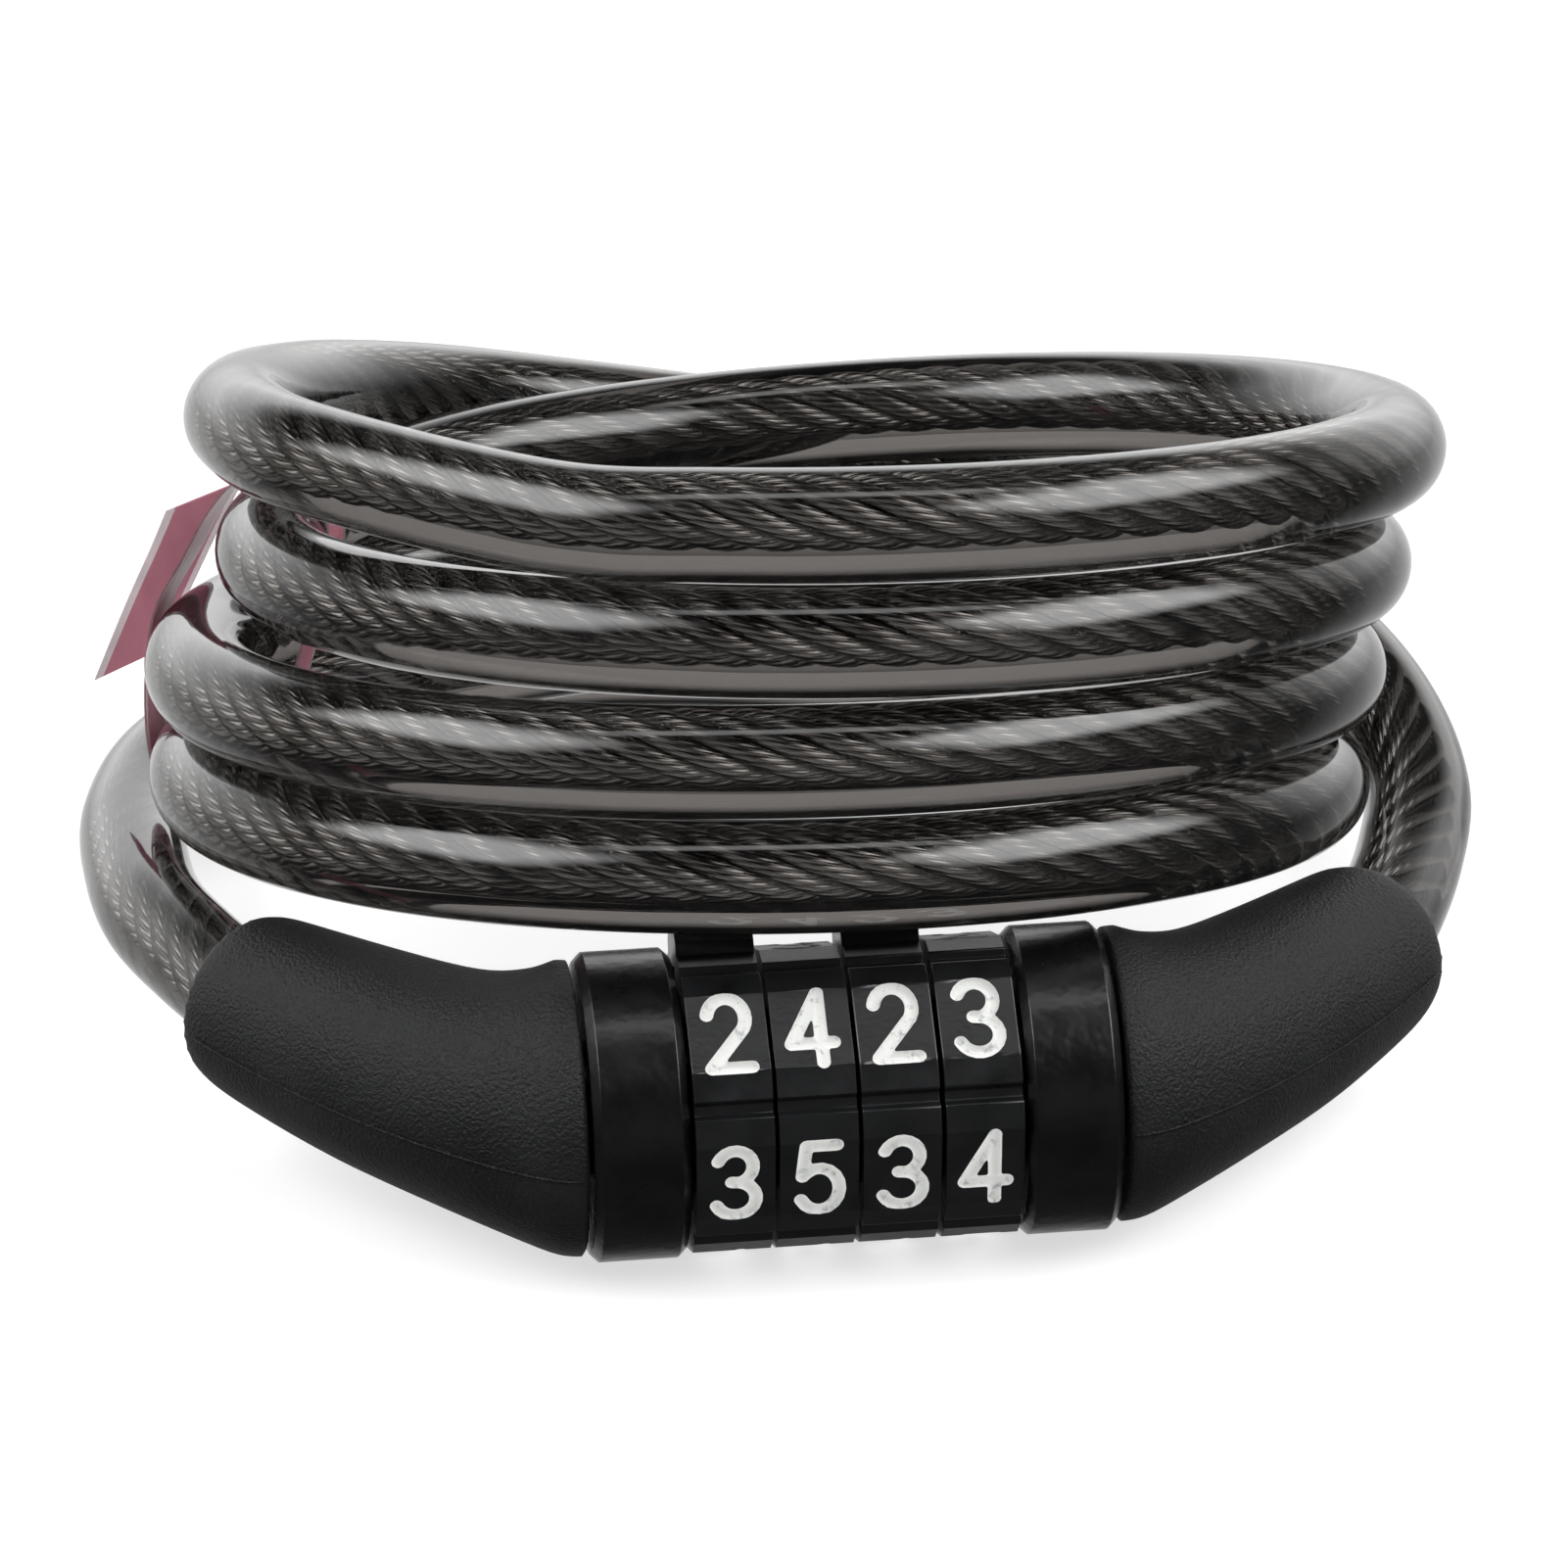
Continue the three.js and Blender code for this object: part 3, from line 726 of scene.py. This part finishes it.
def bootEdge(side, face):
    # points along the boot's surface in the plane of its bend; face -1 is the front
    shares, radii = zip(*boots["profile"])
    spots = []
    for t in np.linspace(shares[0], shares[-1], boots["flashPoints"]):
        radius = float(np.interp(t, shares, radii))
        x = (1 - t) ** 2 * boots["inner"] + 2 * t * (1 - t) * boots["knee"] + t * t * boots["mouth"][0]
        y = t * t * boots["mouth"][1]
        turn = math.radians(boots["turn"]) * t
        x -= face * radius * math.sin(turn)
        y += face * radius * math.cos(turn)
        lift = -side * y * math.sin(math.radians(boots["roll"]))
        spots.append(Vector((side * x, y + axis["y"], axis["z"] + lift)))
    return spots


def buildFlash(boot, name, body, side):
    lines = []
    for face in (-1, 1):
        spots = []
        for spot in bootEdge(side, face):
            place, normal = boot.closest_point_on_mesh(spot * mm)[1:3]
            spots.append(place / mm + normal * boots["proud"])
        lines.append(smoothLine(spots, boots["flashStep"]))
    piece = splineMesh(name, lines, radius=boots["flash"], resolution=2)
    # the parting line takes the darker rubber: painted shade
    paintWith(piece, seamShadeRubber)
    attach(piece, body)


def buildBoot(node, body, side):
    piece = cleanCopy(node, node + "_rubber")
    b = bmesh.new()
    b.from_mesh(piece.data)
    crease = b.edges.layers.float.new("crease_edge")
    for edge in b.edges:
        if len(edge.link_faces) == 2 and edge.calc_face_angle() > math.radians(boots["rim"]):
            edge[crease] = boots["crease"]
    b.to_mesh(piece.data)
    b.free()
    paintWith(piece, rubber)
    smooth = piece.modifiers.new("rounding", "SUBSURF")
    smooth.levels = smooth.render_levels = boots["levels"]
    settle(piece, angle=60)
    standFor(piece, body, "rubber", node)
    buildFlash(piece, node + "_flash", body, side)


buildBoot("left_boot", "lock", -1)
buildBoot("right_boot", "plug", 1)
print("boots made")

# Tie round the turns
tie = {
    "angle": 164,                # round the coil, counted from +X
    "middle": (0.5, -6.438, 27.75), "reach": 40.5, "rise": 12,
    "width": 6.2, "thickness": 0.16, "step": 0.8, "tailStep": 0.9,
    # round the turns: outwards from the coil's middle, and up along its axis
    "loop": [
        (36.8, 10.95), (39.2, 10.3), (41.2, 8.2), (43.3, 4.8), (45.4, 1.4), (46.2, -1.4),
        (46.6, -8.5), (45.7, -12.1), (42.8, -13.8), (39.6, -12.9), (37.7, -10.0), (35.0, -2.5),
        (32.6, 4.6), (32.5, 7.2), (33.4, 9.4), (35.0, 10.7)],
    # the loose end: left and right edge from top to bottom, in the row frame
    "left": [(-42.6, 54.6, 30.9), (-43.9, 55.1, 27.6), (-45.4, 55.6, 24.1), (-46.9, 55.7, 20.6),
             (-48.4, 55.4, 17.2)],
    "right": [(-36.9, 54.2, 33.2), (-38.3, 55.3, 29.9), (-39.8, 56.0, 26.4), (-41.5, 56.1, 22.8),
              (-43.4, 55.4, 19.4)],
    "margin": (0.0, 0.13, 0.9, 1.0),   # shares of the width where the clear edges end
}


def filmStrip(name, leftEdge, rightEdge, closed=False):
    # a strip between two edges; its outer bands are the clear margins
    b = bmesh.new()
    previous = None
    rows = list(zip(leftEdge, rightEdge))
    if closed:
        rows.append(rows[0])
    for left, right in rows:
        row = [b.verts.new((Vector(left).lerp(Vector(right), share)) * mm) for share in tie["margin"]]
        if previous:
            for i in range(3):
                face = b.faces.new((previous[i], previous[i + 1], row[i + 1], row[i]))
                face.material_index = 0 if i == 1 else 1
        previous = row
    bmesh.ops.remove_doubles(b, verts=b.verts, dist=1e-6)
    bmesh.ops.recalc_face_normals(b, faces=b.faces)
    mesh = bpy.data.meshes.new(name)
    b.to_mesh(mesh)
    b.free()
    return mesh


def buildTie():
    lean, a = math.radians(coil["lean"]), math.radians(tie["angle"])
    back = Vector((0, math.cos(lean), -math.sin(lean)))
    normal = Vector((0, math.sin(lean), math.cos(lean)))
    out = Vector((math.cos(a), 0, 0)) + back * math.sin(a)
    along = Vector((-math.sin(a), 0, 0)) + back * math.cos(a)
    middle = Vector(tie["middle"]) + back * tie["reach"] + normal * tie["rise"]
    ring = [middle + out * u + normal * v for u, v in [*tie["loop"], tie["loop"][0]]]
    band = smoothLine(ring, tie["step"])[:-1]
    half = along * tie["width"] / 2
    loop = filmStrip("loop", [Vector(p) - half for p in band], [Vector(p) + half for p in band], True)
    tail = filmStrip(
        "tail", smoothLine(tie["left"], tie["tailStep"]), smoothLine(tie["right"], tie["tailStep"]))
    b = bmesh.new()
    b.from_mesh(loop)
    b.from_mesh(tail)
    mesh = bpy.data.meshes.new("bundle_tie_film")
    b.to_mesh(mesh)
    b.free()
    piece = makeObject("bundle_tie_film", mesh)
    paintWith(piece, film, clearFilm)
    wall = piece.modifiers.new("wall", "SOLIDIFY")
    wall.thickness = tie["thickness"] * mm
    wall.offset = 0
    settle(piece, angle=50)
    standFor(piece, "lock", "film", "bundle_tie")
    return piece


tieFilm = buildTie()
print("tie made")

# Inner parts keep their frame meshes
innerFinishes = {
    "plug_shank": zinc, "wave_spring": steel, "detent_spring": steel, "retaining_ring": steel,
    "left_ferrule": zinc, "right_ferrule": zinc, "left_rope_end": rope, "right_rope_end": rope,
    "left_cross_pin": steel, "right_cross_pin": steel,
    **{f"clutch_ring_{k}": zinc for k in range(1, 5)},
}
for name, material in innerFinishes.items():
    nodes[name].data.materials.clear()
    nodes[name].data.materials.append(material)

# Floor and lights
studio = {
    "floor": "#b4b4b3",
    "under": 0.9,                  # what shines in the object's lower sides
    "horizon": 1.9, "overhead": 0.08,
    "front": 0.08,                 # share of that light in front of the object
    "rear": (0.3, 0.95),          # where it turns from front to rear
    "glow": 0.66,                  # overexposed paper
    "fade": 0.32, "boost": 1.5,    # a softbox's rim, as a share of it, and the gain for that
}
softboxes = [
    # azimuth from the front, elevation, distance m, width m, height m, power W
    (-86, 44, 1.0, 1.3, 0.8, 14),
    (71, 44, 1.0, 1.5, 0.8, 16.5),
    (0, 85, 1.2, 1.5, 0.3, 2.6),
]


def makeFloor():
    b = bmesh.new()
    bmesh.ops.create_grid(b, x_segments=4, y_segments=4, size=4)
    mesh = bpy.data.meshes.new("floor")
    b.to_mesh(mesh)
    b.free()
    floor = makeObject("floor", mesh)
    floor.data.transform(Matrix.Translation((0, 0, -0.00005)))
    material, tree, shader = newMaterial("white paper sweep")
    tone = objectNoise(tree, 60, detail=2)
    tree.links.new(ramp(tree, tone.outputs["Fac"], [
        (0.2, colour(studio["floor"])), (0.8, colour("#bababa"))]), shader.inputs["Base Color"])
    shader.inputs["Roughness"].default_value = 0.9
    shader.inputs["Emission Color"].default_value = (1, 1, 1, 1)
    shader.inputs["Emission Strength"].default_value = studio["glow"]
    floor.data.materials.append(material)
    floor.visible_glossy = False       # the gloss shows the darker surround below instead


def makeSurround():
    world = bpy.data.worlds.new("studio")
    bpy.context.scene.world = world
    world.use_nodes = True
    tree = world.node_tree
    place = addNode(tree, "TexCoord")
    parts = addNode(tree, "SeparateXYZ", [("Vector", place.outputs["Generated"])])
    height = span(tree, parts.outputs["Z"], 0, 1, start=-1)
    under, horizon, overhead = (
        (studio[name],) * 3 + (1,) for name in ("under", "horizon", "overhead"))
    tone = ramp(tree, height, [(0.4, under), (0.5, horizon), (0.63, horizon), (0.74, overhead)])
    start, end = studio["rear"]
    rear = span(tree, parts.outputs["Y"], studio["front"], 1, start, end)     # dark behind the camera
    tree.links.new(tone, tree.nodes["Background"].inputs["Color"])
    tree.links.new(rear, tree.nodes["Background"].inputs["Strength"])


def fadeEdges(light):
    # a softbox is brightest in its middle and fades at its rim
    light.use_nodes = True
    tree = light.node_tree
    place = addNode(tree, "NewGeometry")
    parts = addNode(tree, "SeparateXYZ", [("Vector", place.outputs["Parametric"])])
    black, white = (0, 0, 0, 1), (1, 1, 1, 1)
    rims = []
    for way in "XY":
        faded = ramp(tree, parts.outputs[way], [
            (0.0, black), (studio["fade"], white), (1 - studio["fade"], white), (1.0, black)])
        faded.node.color_ramp.interpolation = "EASE"
        rims.append(faded)
    both = addNode(tree, "VectorMath", operation="MULTIPLY")
    for socket, faded in zip(both.inputs, rims):
        tree.links.new(faded, socket)
    tree.links.new(both.outputs["Vector"], tree.nodes["Emission"].inputs["Color"])
    tree.nodes["Emission"].inputs["Strength"].default_value = studio["boost"]


def makeSoftboxes():
    target = Vector((0, 0.03, 0.02))
    for i, (az, el, away, width, height, power) in enumerate(softboxes):
        a, e = math.radians(az), math.radians(el)
        back = Vector((math.sin(a) * math.cos(e), -math.cos(a) * math.cos(e), math.sin(e)))
        data = bpy.data.lights.new(f"softbox_{i + 1}", "AREA")
        data.shape = "RECTANGLE"
        data.size, data.size_y = width, height
        data.energy = power
        fadeEdges(data)
        lamp = bpy.data.objects.new(f"softbox_{i + 1}", data)
        bpy.context.scene.collection.objects.link(lamp)
        lamp.location = target + back * away
        lamp.rotation_euler = back.to_track_quat("Z", "Y").to_euler()


makeFloor()
makeSurround()
makeSoftboxes()
print("studio made")

bpy.context.scene.view_settings.view_transform = "Standard"
